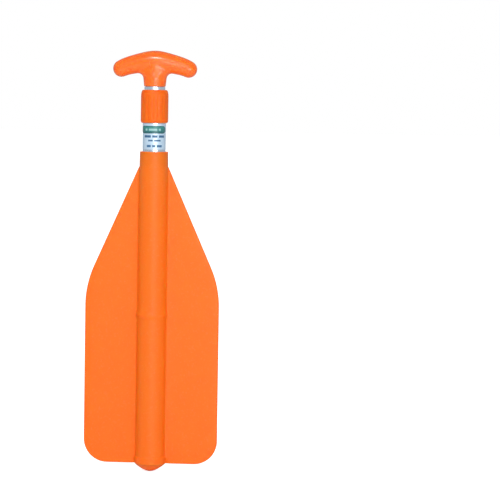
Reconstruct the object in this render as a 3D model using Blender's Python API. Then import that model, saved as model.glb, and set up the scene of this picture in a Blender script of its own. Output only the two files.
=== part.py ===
"""Telescoping boat paddle, collapsed and standing on its nose, T-grip at the top.

A flat blade is moulded on a hollow spine. An outer tube slides out of the spine, and an
inner tube with the T-grip slides out of the outer tube. At the foot of each tube a split
sleeve is spread by a cone on a threaded stud, so a quarter turn locks the tube.
Lengths are in metres. Z runs up the shaft, the blade lies in the XZ plane and its front
faces -Y. The origin is the tip of the nose.
"""
import math

import bmesh
import bpy
from mathutils import Matrix, Vector

# Shared by every piece
GAP = 0.0003                  # clearance between neighbouring pieces
ROUND = 48                    # sides on the shaft's round pieces
LOCK_ROUND = 32               # sides on the turned pieces inside the locks
SMALL_ROUND = 16              # sides on studs and pins
SHARP_EDGE = math.radians(35)

# Overall layout along Z
NOSE_HEIGHT = 0.0093
BLADE_BOTTOM = 0.0097
NECK_BASE = 0.3737
NECK_TOP = 0.3915
COLLAR_BOTTOM = 0.4262
COLLAR_TOP = 0.4664
GRIP_SEAT = 0.4706            # underside of the grip, on the end of the inner tube
GRIP_CROWN = 0.5140

# Blade and its spine
BLADE_HALF_WIDTH = 0.0822
BLADE_THICKNESS = 0.0030
BLADE_EDGE_ROUND = 0.0012
SHOULDER_ANGLE = math.radians(23.85)   # shoulder edge, from the shaft's direction
SHOULDER_CORNER = 0.2278               # height where the shoulder line meets the side
SHOULDER_BLEND = 0.1210                # radius that rounds that corner
FOOT_CORNER = 0.0287                   # radius of the two lower corners
SPINE_RADIUS = 0.01785
SPINE_TOP_RADIUS = 0.01765              # the spine narrows this far above the bead
SPINE_BORE = 0.0150
NECK_LOW_RADIUS = 0.01745
NECK_TOP_RADIUS = 0.01715
NECK_BORE = 0.0157
BEAD_HEIGHT = 0.1920
BEAD_HALF_LENGTH = 0.0045
BEAD_PROUD = 0.0010
FOOT_RADIUS = 0.0190
FOOT_TOP = 0.0175
NOSE_RADIUS = 0.0187
NOSE_POWER = 1.75             # how fast the nose widens, from its tip
NOSE_SPIGOT = 0.0200
DOME_STEPS = 7
BUSH_HEIGHT = 0.0175
BUSH_BORE = 0.0142

# Tubes
OUTER_TUBE_RADIUS = 0.0139
OUTER_TUBE_BORE = 0.0130
OUTER_TUBE_END = 0.0745
OUTER_TUBE_TOP = 0.4598
INNER_TUBE_RADIUS = 0.01265
INNER_TUBE_BORE = 0.01175
INNER_TUBE_END = 0.1410

# Collar on the outer tube
COLLAR_RADIUS = 0.0167
COLLAR_BORE = OUTER_TUBE_RADIUS + GAP
COLLAR_TOP_RADIUS = 0.0139
COLLAR_FOOT_RADIUS = 0.0145
COLLAR_SHOULDER = 0.0080
COLLAR_FOOT = 0.0033
COLLAR_LIP = 0.0030
FLUTES = 16
FLUTE_SIDES = 4
FLUTE_DEPTH = 0.00035
WIPER_BORE = INNER_TUBE_RADIUS + GAP

# Label wrapped round the outer tube
LABEL_BOTTOM = 0.3942
LABEL_TOP = 0.4253
LABEL_INSIDE = OUTER_TUBE_RADIUS + 0.00010
LABEL_OUTSIDE = OUTER_TUBE_RADIUS + 0.00025
LABEL_WRAP = math.radians(340)

# Twist locks
STUD_RADIUS = 0.0030
PIN_RADIUS = 0.0015
PLUG_DEPTH = 0.0240
PLUG_FLANGE = 0.0030
STUD_REACH = 0.0120           # how far the stud goes up into the plug
PIN_HEIGHT = 0.0180           # cross pin, above the tube's end
WASHER_THICKNESS = 0.0012
WASHER_MARGIN = 0.0015
SLEEVE_LENGTH = 0.0260
SLEEVE_WEB = 0.0040
SLEEVE_WALL = 0.0024          # at the mouth
SLEEVE_TAPER = 0.0040         # how much narrower the bore is under the web
SLOT_WIDTH = 0.0020
CONE_CLEARANCE = 0.00055
CONE_SHOWS = 0.0035           # stretch of cone below the sleeve
KEY_WIDTH = SLOT_WIDTH - 2 * GAP
NUT_HEIGHT = 0.0040
NUT_RADIUS = 0.0056

# T-grip
BAR_BEND = 0.0920             # radius of the bar's centre line
BAR_END = math.radians(26.5)  # half the angle that it sweeps
BAR_DROOP = 0.0010            # how far each arm sags below that line, halfway out
BAR_THICK = 0.0125            # half thickness in the middle
BAR_END_THICK = 0.0103
BAR_DEPTH = 0.0128            # half depth, front to back, in the middle
BAR_END_DEPTH = 0.0102
BAR_STATIONS = 16
BAR_CAP_STEPS = 5
GRIP_SIDES = 28
GRIP_NECK_LOW = 0.0131
GRIP_NECK_HIGH = 0.0141
GRIP_FLARE_BASE = 0.4796
GRIP_FLARE = 0.0068
GRIP_FLARE_STEPS = 5
GRIP_SPIGOT_END = 0.4400
GRIP_PIN_HEIGHT = 0.4500


def clear_scene():
    for item in list(bpy.data.objects):
        bpy.data.objects.remove(item, do_unlink=True)


def make_material(name, colour, roughness, metallic=0.0):
    material = bpy.data.materials.new(name)
    material.use_nodes = True
    shader = material.node_tree.nodes["Principled BSDF"]
    shader.inputs["Base Color"].default_value = (*colour, 1.0)
    shader.inputs["Roughness"].default_value = roughness
    shader.inputs["Metallic"].default_value = metallic
    return material


def make_materials():
    orange = (0.90, 0.19, 0.035)
    steel = (0.55, 0.56, 0.58)
    nylon = (0.80, 0.80, 0.77)
    return {
        "blade_plastic": make_material("blade_plastic", orange, 0.42),
        "grip_plastic": make_material("grip_plastic", orange, 0.32),
        "collar_plastic": make_material("collar_plastic", orange, 0.45),
        "aluminium_tube": make_material("aluminium_tube", (0.78, 0.80, 0.82), 0.28, 1.0),
        "steel": make_material("steel", steel, 0.35, 1.0),
        "nylon": make_material("nylon", nylon, 0.5),
        "seal_rubber": make_material("seal_rubber", (0.03, 0.03, 0.03), 0.7),
        "label_film": make_material("label_film", (0.82, 0.88, 0.90), 0.3),
    }


def make_empty(name, height, parent=None):
    """An empty on the shaft's axis, which carries the pieces that move with one joint."""
    empty = bpy.data.objects.new(name, None)
    bpy.context.collection.objects.link(empty)
    empty.empty_display_size = 0.02
    empty.location = (0.0, 0.0, height)
    if parent is not None:
        attach(empty, parent)
    return empty


def attach(item, parent):
    """Parent without moving the item: every carrier sits on the shaft's axis."""
    item.parent = parent
    carried = Matrix.Identity(4)
    above = parent
    while above is not None:
        carried = Matrix.Translation(above.location) @ carried
        above = above.parent
    item.location = item.location - carried.to_translation()


def make_object(name, bm, material, parent):
    bmesh.ops.recalc_face_normals(bm, faces=bm.faces)
    mesh = bpy.data.meshes.new(name)
    bm.to_mesh(mesh)
    bm.free()
    mesh.materials.append(material)
    mesh.shade_smooth()
    mesh.set_sharp_from_angle(angle=SHARP_EDGE)
    item = bpy.data.objects.new(name, mesh)
    bpy.context.collection.objects.link(item)
    if parent is not None:
        attach(item, parent)
    return item


def make_guide(name, bm):
    """A shape that only cuts or joins another piece."""
    bmesh.ops.recalc_face_normals(bm, faces=bm.faces)
    mesh = bpy.data.meshes.new(name)
    bm.to_mesh(mesh)
    bm.free()
    guide = bpy.data.objects.new(name, mesh)
    bpy.context.collection.objects.link(guide)
    guide.hide_render = True
    guide.display_type = "WIRE"
    return guide


def combine(item, guide, operation):
    step = item.modifiers.new(guide.name, "BOOLEAN")
    step.operation = operation
    step.solver = "EXACT"
    step.object = guide


def skin(bm, rings, closed=False):
    """Join each ring of vertices to the next; a ring of one vertex is a pole."""
    following = rings[1:] + rings[:1] if closed else rings[1:]
    sides = max(len(ring) for ring in rings)
    for ring, after in zip(rings, following):
        if len(ring) == 1 and len(after) == 1:
            continue
        for side in range(sides):
            turn = (side + 1) % sides
            corners = [
                ring[side % len(ring)],
                ring[turn % len(ring)],
                after[turn % len(after)],
                after[side % len(after)],
            ]
            bm.faces.new(list(dict.fromkeys(corners)))


def turn_profile(profile, sides=ROUND):
    """Turn a closed outline of (radius, height) points about Z."""
    bm = bmesh.new()
    rings = []
    for radius, height in profile:
        if radius == 0:
            rings.append([bm.verts.new((0.0, 0.0, height))])
            continue
        angles = [2 * math.pi * side / sides for side in range(sides)]
        ring = [(radius * math.cos(angle), radius * math.sin(angle), height) for angle in angles]
        rings.append([bm.verts.new(point) for point in ring])
    skin(bm, rings, closed=True)
    return bm


def tube_profile(outer, inner, bottom, top):
    return [(outer, top), (outer, bottom), (inner, bottom), (inner, top)]


def rod_profile(radius, bottom, top, chamfer=0.0003):
    return [
        (0, top),
        (radius - chamfer, top),
        (radius, top - chamfer),
        (radius, bottom + chamfer),
        (radius - chamfer, bottom),
        (0, bottom),
    ]


def box_mesh(width, depth, bottom, top):
    bm = bmesh.new()
    size = Matrix.Diagonal((width, depth, top - bottom, 1.0))
    place = Matrix.Translation((0.0, 0.0, (bottom + top) / 2))
    bmesh.ops.create_cube(bm, size=1.0, matrix=place @ size)
    return bm


def crossways(bm, height):
    """Lay a rod made along Z across the shaft at a height, along X."""
    turn = Matrix.Rotation(math.pi / 2, 4, "Y")
    bmesh.ops.transform(bm, matrix=Matrix.Translation((0.0, 0.0, height)) @ turn, verts=bm.verts)
    return bm


def cross_hole(height, targets):
    """Drill one hole for a cross pin through every target."""
    reach = 2 * SPINE_RADIUS
    bm = crossways(turn_profile(rod_profile(PIN_RADIUS + GAP, -reach, reach), SMALL_ROUND), height)
    guide = make_guide("cross_hole_guide", bm)
    for target in targets:
        combine(target, guide, "DIFFERENCE")


def arc(centre, radius, start, end, steps):
    """Points on an arc in the XZ plane, both ends included."""
    angles = [start + (end - start) * step / steps for step in range(steps + 1)]
    return [
        (centre[0] + radius * math.cos(angle), centre[1] + radius * math.sin(angle))
        for angle in angles
    ]


def blade_side_outline():
    """Right half of the blade's edge, from the spine down to the bottom edge."""
    slope = math.tan(SHOULDER_ANGLE)
    inside_spine = SPINE_RADIUS / 2
    start = (inside_spine, SHOULDER_CORNER + (BLADE_HALF_WIDTH - inside_spine) / slope)
    tangent = SHOULDER_BLEND * math.tan(SHOULDER_ANGLE / 2)
    blend_centre = (BLADE_HALF_WIDTH - SHOULDER_BLEND, SHOULDER_CORNER - tangent)
    blend = arc(blend_centre, SHOULDER_BLEND, SHOULDER_ANGLE, 0.0, 8)
    foot_centre = (BLADE_HALF_WIDTH - FOOT_CORNER, BLADE_BOTTOM + FOOT_CORNER)
    foot = arc(foot_centre, FOOT_CORNER, 0.0, -math.pi / 2, 12)
    return [start] + blend + foot


def blade_plate():
    """The flat of the blade, in one piece through the spine, with a rounded edge."""
    side = blade_side_outline()
    cap = [(0.0, side[0][1])]
    outline = cap + side + [(-x, z) for x, z in reversed(side)]
    bm = bmesh.new()
    front = [bm.verts.new((x, -BLADE_THICKNESS / 2, z)) for x, z in outline]
    face = bm.faces.new(front)
    grown = bmesh.ops.extrude_face_region(bm, geom=[face])
    moved = [item for item in grown["geom"] if isinstance(item, bmesh.types.BMVert)]
    bmesh.ops.translate(bm, vec=(0.0, BLADE_THICKNESS, 0.0), verts=moved)
    plate = make_guide("blade_plate_guide", bm)
    edge = plate.modifiers.new("rounded_edge", "BEVEL")
    edge.width = BLADE_EDGE_ROUND
    edge.segments = 2
    edge.limit_method = "ANGLE"
    edge.angle_limit = math.radians(60)
    return plate


def spine_profile():
    """Outside of the spine, from the neck's rim down to the foot."""
    rim = 0.0004
    neck = [(0, NECK_TOP), (NECK_TOP_RADIUS - rim, NECK_TOP), (NECK_TOP_RADIUS, NECK_TOP - rim)]
    shoulder = [(NECK_LOW_RADIUS, NECK_BASE), (SPINE_TOP_RADIUS, NECK_BASE - 0.003)]
    bead = []
    for step in range(7):
        along = -1 + 2 * step / 6
        height = BEAD_HEIGHT - along * BEAD_HALF_LENGTH
        bead.append((SPINE_RADIUS + BEAD_PROUD * math.cos(along * math.pi / 2), height))
    foot_bottom = NOSE_HEIGHT + GAP
    foot = [
        (SPINE_RADIUS, FOOT_TOP + 0.0018),
        (FOOT_RADIUS, FOOT_TOP),
        (FOOT_RADIUS, foot_bottom + rim),
        (FOOT_RADIUS - rim, foot_bottom),
        (0, foot_bottom),
    ]
    return neck + shoulder + bead + foot


def build_blade(materials):
    blade = make_object("blade", turn_profile(spine_profile()), materials["blade_plastic"], None)
    combine(blade, blade_plate(), "UNION")
    bore = [
        (0, NECK_TOP + SPINE_BORE),
        (NECK_BORE, NECK_TOP + SPINE_BORE),
        (NECK_BORE, NECK_TOP - BUSH_HEIGHT - 2 * GAP),
        (SPINE_BORE, NECK_TOP - BUSH_HEIGHT - 2 * GAP),
        (SPINE_BORE, -SPINE_BORE),
        (0, -SPINE_BORE),
    ]
    combine(blade, make_guide("spine_bore_guide", turn_profile(bore)), "DIFFERENCE")


def build_nose_plug(materials):
    """Blunt nose with a spigot that closes the bottom of the spine."""
    dome = []
    for step in range(DOME_STEPS + 1):
        share = 1 - step / DOME_STEPS
        dome.append((NOSE_RADIUS * share, NOSE_HEIGHT * share ** NOSE_POWER))
    spigot_radius = SPINE_BORE - GAP
    spigot_top = NOSE_HEIGHT + NOSE_SPIGOT
    lead_in = 0.0012
    spigot = [
        (0, spigot_top),
        (spigot_radius - lead_in, spigot_top),
        (spigot_radius, spigot_top - lead_in),
        (spigot_radius, NOSE_HEIGHT),
    ]
    make_object("nose_plug", turn_profile(spigot + dome), materials["blade_plastic"], None)


def build_neck_bush(materials):
    top = NECK_TOP - GAP
    profile = tube_profile(NECK_BORE - GAP, BUSH_BORE, top - BUSH_HEIGHT, top)
    make_object("neck_bush", turn_profile(profile), materials["collar_plastic"], None)


def build_outer_tube(materials, carrier):
    profile = tube_profile(OUTER_TUBE_RADIUS, OUTER_TUBE_BORE, OUTER_TUBE_END, OUTER_TUBE_TOP)
    return make_object("outer_tube", turn_profile(profile), materials["aluminium_tube"], carrier)


def build_inner_tube(materials, carrier):
    top = GRIP_SEAT - GAP
    profile = tube_profile(INNER_TUBE_RADIUS, INNER_TUBE_BORE, INNER_TUBE_END, top)
    return make_object("inner_tube", turn_profile(profile), materials["aluminium_tube"], carrier)


def flute_collar(bm):
    """Press shallow flutes into the collar's side, fading out at its ends."""
    flat_bottom = COLLAR_BOTTOM + COLLAR_FOOT
    flat_top = COLLAR_TOP - COLLAR_SHOULDER
    for vertex in bm.verts:
        radius = math.hypot(vertex.co.x, vertex.co.y)
        on_side = flat_bottom <= vertex.co.z <= flat_top + 0.0001 and radius > COLLAR_BORE + GAP
        if on_side:
            angle = math.atan2(vertex.co.y, vertex.co.x)
            depth = FLUTE_DEPTH * (1 + math.cos(FLUTES * angle)) / 2
            scale = (radius - depth) / radius
            vertex.co.x *= scale
            vertex.co.y *= scale


def build_collar(materials, carrier):
    """Hand collar: a soft shoulder above, a short one below and a lip over the tube's end."""
    top_drop = COLLAR_RADIUS - COLLAR_TOP_RADIUS
    foot_drop = COLLAR_RADIUS - COLLAR_FOOT_RADIUS
    outside = []
    for step in range(6):
        angle = math.pi / 2 * (1 - step / 5)
        radius = COLLAR_TOP_RADIUS + top_drop * math.cos(angle)
        outside.append((radius, COLLAR_TOP - COLLAR_SHOULDER * (1 - math.sin(angle))))
    for step in range(5):
        angle = math.pi / 2 * step / 4
        radius = COLLAR_FOOT_RADIUS + foot_drop * math.cos(angle)
        outside.append((radius, COLLAR_BOTTOM + COLLAR_FOOT * (1 - math.sin(angle))))
    lip = COLLAR_TOP - COLLAR_LIP
    inside = [
        (COLLAR_BORE, COLLAR_BOTTOM),
        (COLLAR_BORE, lip),
        (WIPER_BORE + GAP / 2, lip),
        (WIPER_BORE + GAP / 2, COLLAR_TOP),
    ]
    bm = turn_profile(outside + inside, FLUTES * FLUTE_SIDES)
    flute_collar(bm)
    make_object("collar", bm, materials["collar_plastic"], carrier)


def build_wiper_ring(materials, carrier):
    """Ring between the tube's end and the collar's lip, which keeps water out."""
    bottom = OUTER_TUBE_TOP + GAP
    top = COLLAR_TOP - COLLAR_LIP - GAP
    profile = tube_profile(OUTER_TUBE_RADIUS, WIPER_BORE, bottom, top)
    make_object("wiper_ring", turn_profile(profile), materials["seal_rubber"], carrier)


def build_label(materials, carrier):
    """Thin film round the tube, with its seam at the back."""
    bm = bmesh.new()
    steps = ROUND
    corners = [
        (LABEL_OUTSIDE, LABEL_TOP),
        (LABEL_OUTSIDE, LABEL_BOTTOM),
        (LABEL_INSIDE, LABEL_BOTTOM),
        (LABEL_INSIDE, LABEL_TOP),
    ]
    rings = []
    for step in range(steps + 1):
        angle = -math.pi / 2 + LABEL_WRAP * (step / steps - 0.5)
        ring = [(r * math.cos(angle), r * math.sin(angle), z) for r, z in corners]
        rings.append([bm.verts.new(point) for point in ring])
    skin(bm, rings)
    bm.faces.new(rings[0])
    bm.faces.new(rings[-1])
    make_object("label", bm, materials["label_film"], carrier)


def build_lock_plug(name, end, tube_radius, tube_bore, materials, carrier):
    """Plug in the end of a tube, drilled from below for the stud."""
    body = tube_bore - GAP
    hole = STUD_RADIUS + GAP
    flange_top = end - GAP
    flange_bottom = flange_top - PLUG_FLANGE
    profile = [
        (0, end + PLUG_DEPTH),
        (body, end + PLUG_DEPTH),
        (body, flange_top),
        (tube_radius, flange_top),
        (tube_radius, flange_bottom),
        (hole, flange_bottom),
        (hole, end + STUD_REACH),
        (0, end + STUD_REACH),
    ]
    return make_object(name, turn_profile(profile, LOCK_ROUND), materials["nylon"], carrier)


def build_sleeve(name, top, guide_bore, materials, carrier):
    """Split sleeve: a web above and a tapered bore, slotted into four fingers."""
    outer = guide_bore - GAP
    bottom = top - SLEEVE_LENGTH
    web = top - SLEEVE_WEB
    mouth = outer - SLEEVE_WALL
    hole = STUD_RADIUS + GAP
    profile = [
        (outer, top),
        (outer, bottom),
        (mouth, bottom),
        (mouth - SLEEVE_TAPER, web),
        (hole, web),
        (hole, top),
    ]
    sleeve = make_object(name, turn_profile(profile, LOCK_ROUND), materials["nylon"], carrier)
    reach = 3 * outer
    for width, depth in ((reach, SLOT_WIDTH), (SLOT_WIDTH, reach)):
        slot = make_guide(name + "_slot_guide", box_mesh(width, depth, bottom - reach, web))
        combine(sleeve, slot, "DIFFERENCE")


def build_cone(name, sleeve_top, guide_bore, materials, carrier):
    """Cone under the sleeve, with two keys that run in its slots."""
    outer = guide_bore - GAP
    web = sleeve_top - SLEEVE_WEB
    mouth = sleeve_top - SLEEVE_LENGTH
    slope = SLEEVE_TAPER / (web - mouth)
    wide = outer - SLEEVE_WALL - CONE_CLEARANCE
    top = web - 3 * CONE_CLEARANCE
    bottom = mouth - CONE_SHOWS
    profile = [
        (0, top),
        (wide - slope * (top - mouth), top),
        (wide, mouth),
        (wide, bottom),
        (0, bottom),
    ]
    cone = make_object(name, turn_profile(profile, LOCK_ROUND), materials["nylon"], carrier)
    key_bottom = (mouth + bottom) / 2
    key_top = mouth + SLEEVE_LENGTH / 2
    keys = box_mesh(2 * (outer - 2 * GAP), KEY_WIDTH, key_bottom, key_top)
    combine(cone, make_guide(name + "_key_guide", keys), "UNION")
    hole = rod_profile(STUD_RADIUS + GAP, bottom - STUD_RADIUS, top + STUD_RADIUS)
    combine(cone, make_guide(name + "_hole_guide", turn_profile(hole, SMALL_ROUND)), "DIFFERENCE")
    return bottom


def build_nut(name, top, materials, carrier):
    nut = turn_profile(rod_profile(NUT_RADIUS, top - NUT_HEIGHT, top), 6)
    item = make_object(name, nut, materials["steel"], carrier)
    hole = rod_profile(STUD_RADIUS + GAP, top - 2 * NUT_HEIGHT, top + NUT_HEIGHT)
    combine(item, make_guide(name + "_hole_guide", turn_profile(hole, SMALL_ROUND)), "DIFFERENCE")


def build_pin(name, height, half_length, materials, carrier):
    pin = turn_profile(rod_profile(PIN_RADIUS, -half_length, half_length), SMALL_ROUND)
    make_object(name, crossways(pin, height), materials["steel"], carrier)


def build_lock(stage, end, tube, guide_bore, materials, carriers):
    """One twist lock, hung under the end of a tube; returns the plug for its cross hole."""
    tube_radius, tube_bore = tube
    shoe, cone, shaft = carriers
    plug = build_lock_plug(stage + "_lock_plug", end, tube_radius, tube_bore, materials, shaft)
    washer_top = end - PLUG_FLANGE - 2 * GAP
    washer_bottom = washer_top - WASHER_THICKNESS
    washer = tube_profile(
        guide_bore - WASHER_MARGIN, STUD_RADIUS + GAP, washer_bottom, washer_top
    )
    washer_bm = turn_profile(washer, LOCK_ROUND)
    make_object(stage + "_thrust_washer", washer_bm, materials["steel"], shoe)
    sleeve_top = washer_bottom - GAP
    build_sleeve(stage + "_expander_sleeve", sleeve_top, guide_bore, materials, shoe)
    cone_name = stage + "_expander_cone"
    cone_bottom = build_cone(cone_name, sleeve_top, guide_bore, materials, cone)
    nut_top = cone_bottom - GAP
    build_nut(stage + "_lock_nut", nut_top, materials, shaft)
    stud = rod_profile(STUD_RADIUS, nut_top - NUT_HEIGHT - STUD_RADIUS / 2, end + STUD_REACH - GAP)
    stud_name = stage + "_lock_stud"
    make_object(stud_name, turn_profile(stud, SMALL_ROUND), materials["steel"], shaft)
    build_pin(stage + "_lock_pin", end + PIN_HEIGHT, tube_radius - GAP / 2, materials, shaft)
    return plug


def grip_ring(bm, centre, tangent, half_thickness, half_depth):
    """An ellipse of vertices across the bar."""
    upright = Vector((-tangent.z, 0.0, tangent.x))
    ring = []
    for side in range(GRIP_SIDES):
        angle = 2 * math.pi * side / GRIP_SIDES
        offset = upright * (half_thickness * math.cos(angle))
        depth = Vector((0.0, half_depth * math.sin(angle), 0.0))
        ring.append(bm.verts.new(centre + offset + depth))
    return ring


def bar_station(angle):
    """Centre, direction and half sizes of the bar at an angle round its bend."""
    share = abs(angle) / BAR_END
    droop = BAR_DROOP * math.sin(math.pi * share) ** 2
    bend_centre = GRIP_CROWN - BAR_THICK - BAR_BEND
    height = bend_centre + BAR_BEND * math.cos(angle) - droop
    centre = Vector((BAR_BEND * math.sin(angle), 0.0, height))
    tangent = Vector((math.cos(angle), 0.0, -math.sin(angle)))
    thick = BAR_THICK + (BAR_END_THICK - BAR_THICK) * share ** 1.5
    depth = BAR_DEPTH + (BAR_END_DEPTH - BAR_DEPTH) * share
    return centre, tangent, thick, depth


def bar_cap(bm, side):
    """Rings that round off one end of the bar, from the outermost point inwards."""
    centre, tangent, thick, depth = bar_station(side * BAR_END)
    outward = tangent * side
    rings = [[bm.verts.new(centre + outward * thick)]]
    for step in range(1, BAR_CAP_STEPS):
        angle = math.pi / 2 * step / BAR_CAP_STEPS
        middle = centre + outward * (thick * math.cos(angle))
        scale = math.sin(angle)
        rings.append(grip_ring(bm, middle, tangent, thick * scale, depth * scale))
    return rings


def grip_bar():
    bm = bmesh.new()
    rings = bar_cap(bm, -1)
    for step in range(BAR_STATIONS + 1):
        angle = BAR_END * (2 * step / BAR_STATIONS - 1)
        rings.append(grip_ring(bm, *bar_station(angle)))
    rings.extend(reversed(bar_cap(bm, 1)))
    skin(bm, rings)
    return bm


def grip_neck():
    """Spigot, neck and the flare into the bar, as ellipses one above another."""
    spigot = INNER_TUBE_BORE - GAP
    lead_in = 0.0008
    sections = [
        (GRIP_SPIGOT_END, spigot - lead_in, spigot - lead_in),
        (GRIP_SPIGOT_END + lead_in, spigot, spigot),
        (GRIP_SEAT, spigot, spigot),
        (GRIP_SEAT, GRIP_NECK_LOW, GRIP_NECK_LOW),
    ]
    for step in range(GRIP_FLARE_STEPS + 1):
        angle = math.pi / 2 * step / GRIP_FLARE_STEPS
        height = GRIP_FLARE_BASE + GRIP_FLARE * math.sin(angle)
        wide = GRIP_NECK_HIGH + GRIP_FLARE * (1 - math.cos(angle))
        deep = GRIP_NECK_HIGH - (GRIP_NECK_HIGH - BAR_DEPTH) * step / GRIP_FLARE_STEPS
        sections.append((height, wide, deep))
    bar_centre = GRIP_CROWN - BAR_THICK
    sections.append((bar_centre, GRIP_NECK_HIGH, BAR_DEPTH * 0.9))
    bm = bmesh.new()
    rings = []
    for height, wide, deep in sections:
        angles = [2 * math.pi * side / GRIP_SIDES for side in range(GRIP_SIDES)]
        ring = [(wide * math.cos(angle), deep * math.sin(angle), height) for angle in angles]
        rings.append([bm.verts.new(point) for point in ring])
    skin(bm, rings)
    bm.faces.new(rings[0])
    bm.faces.new(rings[-1])
    return bm


def build_grip(materials, carrier):
    grip = make_object("t_grip", grip_neck(), materials["grip_plastic"], carrier)
    combine(grip, make_guide("grip_bar_guide", grip_bar()), "UNION")
    return grip


def build_paddle():
    clear_scene()
    materials = make_materials()
    build_blade(materials)
    build_nose_plug(materials)
    build_neck_bush(materials)

    lower_shoe = make_empty("lower_shoe", OUTER_TUBE_END)
    lower_cone = make_empty("lower_cone", OUTER_TUBE_END, lower_shoe)
    mid_shaft = make_empty("mid_shaft", OUTER_TUBE_END, lower_shoe)
    upper_shoe = make_empty("upper_shoe", INNER_TUBE_END, mid_shaft)
    upper_cone = make_empty("upper_cone", INNER_TUBE_END, upper_shoe)
    handle = make_empty("handle", INNER_TUBE_END, upper_shoe)

    outer_tube = build_outer_tube(materials, mid_shaft)
    build_collar(materials, mid_shaft)
    build_wiper_ring(materials, mid_shaft)
    build_label(materials, mid_shaft)
    lower_plug = build_lock(
        "lower",
        OUTER_TUBE_END,
        (OUTER_TUBE_RADIUS, OUTER_TUBE_BORE),
        SPINE_BORE,
        materials,
        (lower_shoe, lower_cone, mid_shaft),
    )
    cross_hole(OUTER_TUBE_END + PIN_HEIGHT, (outer_tube, lower_plug))

    inner_tube = build_inner_tube(materials, handle)
    upper_plug = build_lock(
        "upper",
        INNER_TUBE_END,
        (INNER_TUBE_RADIUS, INNER_TUBE_BORE),
        OUTER_TUBE_BORE,
        materials,
        (upper_shoe, upper_cone, handle),
    )
    cross_hole(INNER_TUBE_END + PIN_HEIGHT, (inner_tube, upper_plug))

    grip = build_grip(materials, handle)
    build_pin("grip_pin", GRIP_PIN_HEIGHT, INNER_TUBE_RADIUS - GAP / 2, materials, handle)
    cross_hole(GRIP_PIN_HEIGHT, (inner_tube, grip))


build_paddle()
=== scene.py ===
"""Looks of the telescoping boat paddle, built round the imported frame.

Every piece that shows is rebuilt finer than its CAD solid and rides on the same body.
The hidden lock pieces keep their CAD shape and get their real materials.
"""

import math

import bmesh
import bpy
from mathutils import Matrix, Vector


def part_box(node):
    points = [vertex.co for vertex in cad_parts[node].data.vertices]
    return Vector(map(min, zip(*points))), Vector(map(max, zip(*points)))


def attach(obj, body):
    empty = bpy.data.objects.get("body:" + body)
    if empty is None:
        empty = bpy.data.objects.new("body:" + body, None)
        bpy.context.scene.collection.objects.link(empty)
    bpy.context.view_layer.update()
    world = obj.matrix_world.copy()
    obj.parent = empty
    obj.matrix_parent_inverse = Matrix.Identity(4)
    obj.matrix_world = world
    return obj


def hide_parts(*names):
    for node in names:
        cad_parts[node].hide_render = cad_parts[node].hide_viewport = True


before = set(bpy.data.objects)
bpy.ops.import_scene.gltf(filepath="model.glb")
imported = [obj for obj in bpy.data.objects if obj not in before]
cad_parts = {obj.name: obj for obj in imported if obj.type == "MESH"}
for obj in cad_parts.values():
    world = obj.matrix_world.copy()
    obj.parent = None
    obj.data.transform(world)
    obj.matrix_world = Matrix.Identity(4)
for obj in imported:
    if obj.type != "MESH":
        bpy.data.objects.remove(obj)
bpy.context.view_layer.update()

MM = 0.001
TAU = 2 * math.pi
FINE = 144                     # sides on round pieces
SHARP_EDGE = math.radians(38)
GAP = 0.3 * MM                 # clearance between neighbouring pieces
CHAMFER = 0.3 * MM             # on the mouth of a bore
PIN_GAP = 0.15 * MM            # how much wider in radius a hole is than its pin

# Frame boxes that place the pieces
BLADE_LOW, BLADE_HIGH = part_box("blade")
_, NOSE_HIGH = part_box("nose_plug")
BUSH_LOW, BUSH_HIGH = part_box("neck_bush")
OUTER_LOW, OUTER_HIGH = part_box("outer_tube")
INNER_LOW, INNER_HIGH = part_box("inner_tube")
COLLAR_LOW, COLLAR_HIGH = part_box("collar")
WIPER_LOW, WIPER_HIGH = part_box("wiper_ring")
LABEL_LOW, LABEL_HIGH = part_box("label")
GRIP_LOW, GRIP_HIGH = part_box("t_grip")
PIN_LOW, PIN_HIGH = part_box("grip_pin")

# Blade
HALF_WIDTH = BLADE_HIGH.x
HALF_PLATE = 1.5 * MM
PLATE_RIM = 1.2 * MM           # how far in from the edge the rounding starts
PLATE_FILLET = 2.0 * MM        # between the plates and the spine
SHOULDER_ANGLE = math.radians(23.85)
SHOULDER_CORNER = 227.8 * MM   # height where the shoulder line meets the side
SHOULDER_BLEND = 121.0 * MM
FOOT_CORNER = 28.7 * MM
PLATE_BOTTOM = BLADE_LOW.z + 0.1 * MM
PLATE_RUN_OUT = 9.0 * MM       # length over which a plate fades into the spine
SPINE = 17.85 * MM
SPINE_TOP = 17.65 * MM         # what the spine narrows to, from the bead up to the neck
SPINE_BORE = 15.0 * MM
NECK_LOW = 17.45 * MM
NECK_TOP = 17.15 * MM
NECK_BORE = BUSH_HIGH.x + GAP
NECK_BASE = 373.7 * MM
NECK_SLOPE = 3.0 * MM          # length over which the spine steps in to the neck
NECK_RIM = 0.6 * MM
BEAD = 192.0 * MM
BEAD_HALF = 4.6 * MM
BEAD_PROUD = 1.0 * MM
FOOT = BLADE_HIGH.y
FOOT_TOP = 17.4 * MM
FOOT_SLOPE = 2.0 * MM
FOOT_RIM = 0.4 * MM
NOSE_POWER = 1.75              # how fast the nose widens, from its tip
CIRCLE_STEPS = 18              # steps in a quarter of a section
FILLET_STEPS = 5
PLATE_STEPS = 6
RIM_STEPS = 5
ROUND_STEPS = 4                # steps round the neck's rim and the foot's
CORNER_STEPS = 14
BOTTOM_STEPS = 5
FADE_STEPS = 9                 # rows over which a plate fades in at the shoulder
RUN_OUT_STEPS = 8              # rows over which it fades out at the foot

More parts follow.
